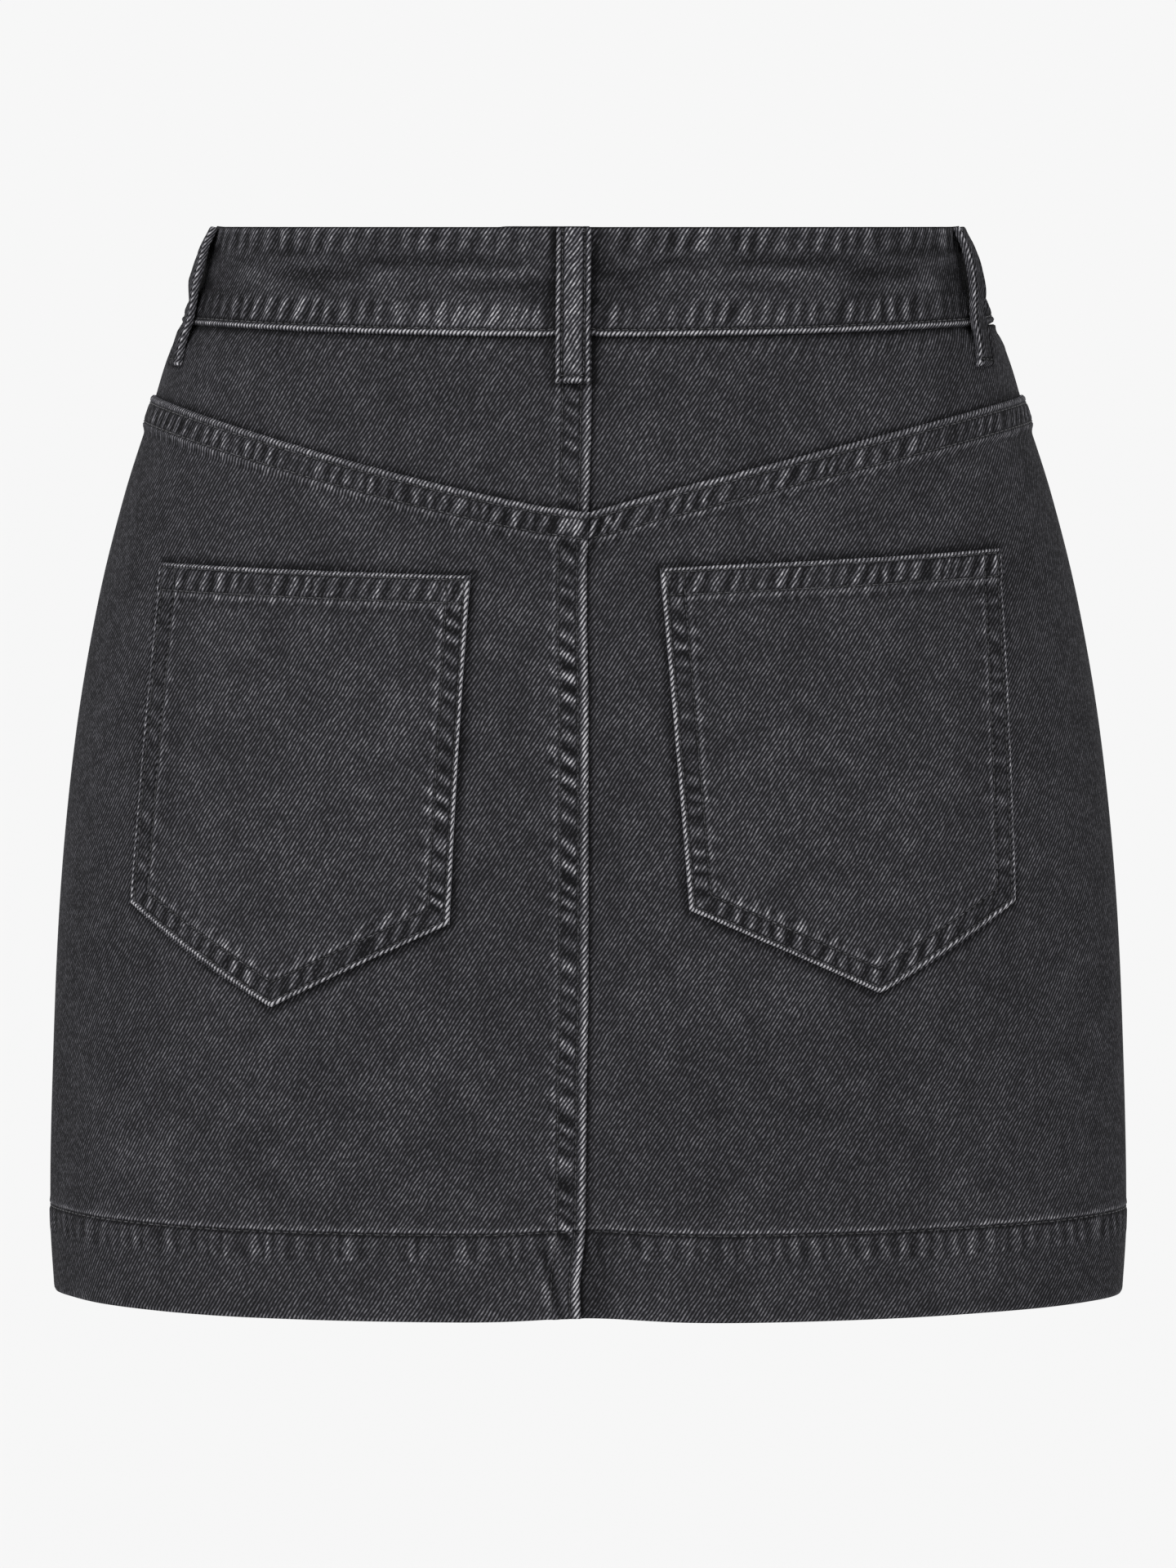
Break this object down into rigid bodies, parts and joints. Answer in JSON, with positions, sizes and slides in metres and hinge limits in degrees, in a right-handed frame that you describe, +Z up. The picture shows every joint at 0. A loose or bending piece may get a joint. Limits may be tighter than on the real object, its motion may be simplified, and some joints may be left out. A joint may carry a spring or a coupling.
{
  "type": "denim skirt",
  "caption": "Short black denim skirt, filled out and hollow, with a pointed back yoke, patch pockets, a waistband with belt loops and a front shank button.",
  "frame": {"origin": "middle of the waist, level with the waistband's top edge", "axes": "+Z up, the skirt hangs below the origin; the back faces -Y and the front +Y; the wearer's left is -X"},
  "size_m": [0.4036, 0.2192, 0.4016],
  "materials": {
    "denim": "washed black cotton twill",
    "button_metal": "dark plated metal"
  },
  "bodies": {
    "root": {"back_panel_left": "denim", "back_panel_right": "denim", "yoke_left": "denim", "yoke_right": "denim", "front_panel_left": "denim", "front_panel_right": "denim", "waistband_back": "denim", "waistband_front_left": "denim", "waistband_front_right": "denim", "pocket_left": "denim", "pocket_right": "denim", "loop_back": "denim", "loop_side_left": "denim", "loop_side_right": "denim", "loop_front_left": "denim", "loop_front_right": "denim", "button": "button_metal"}
  },
  "joints": []
}
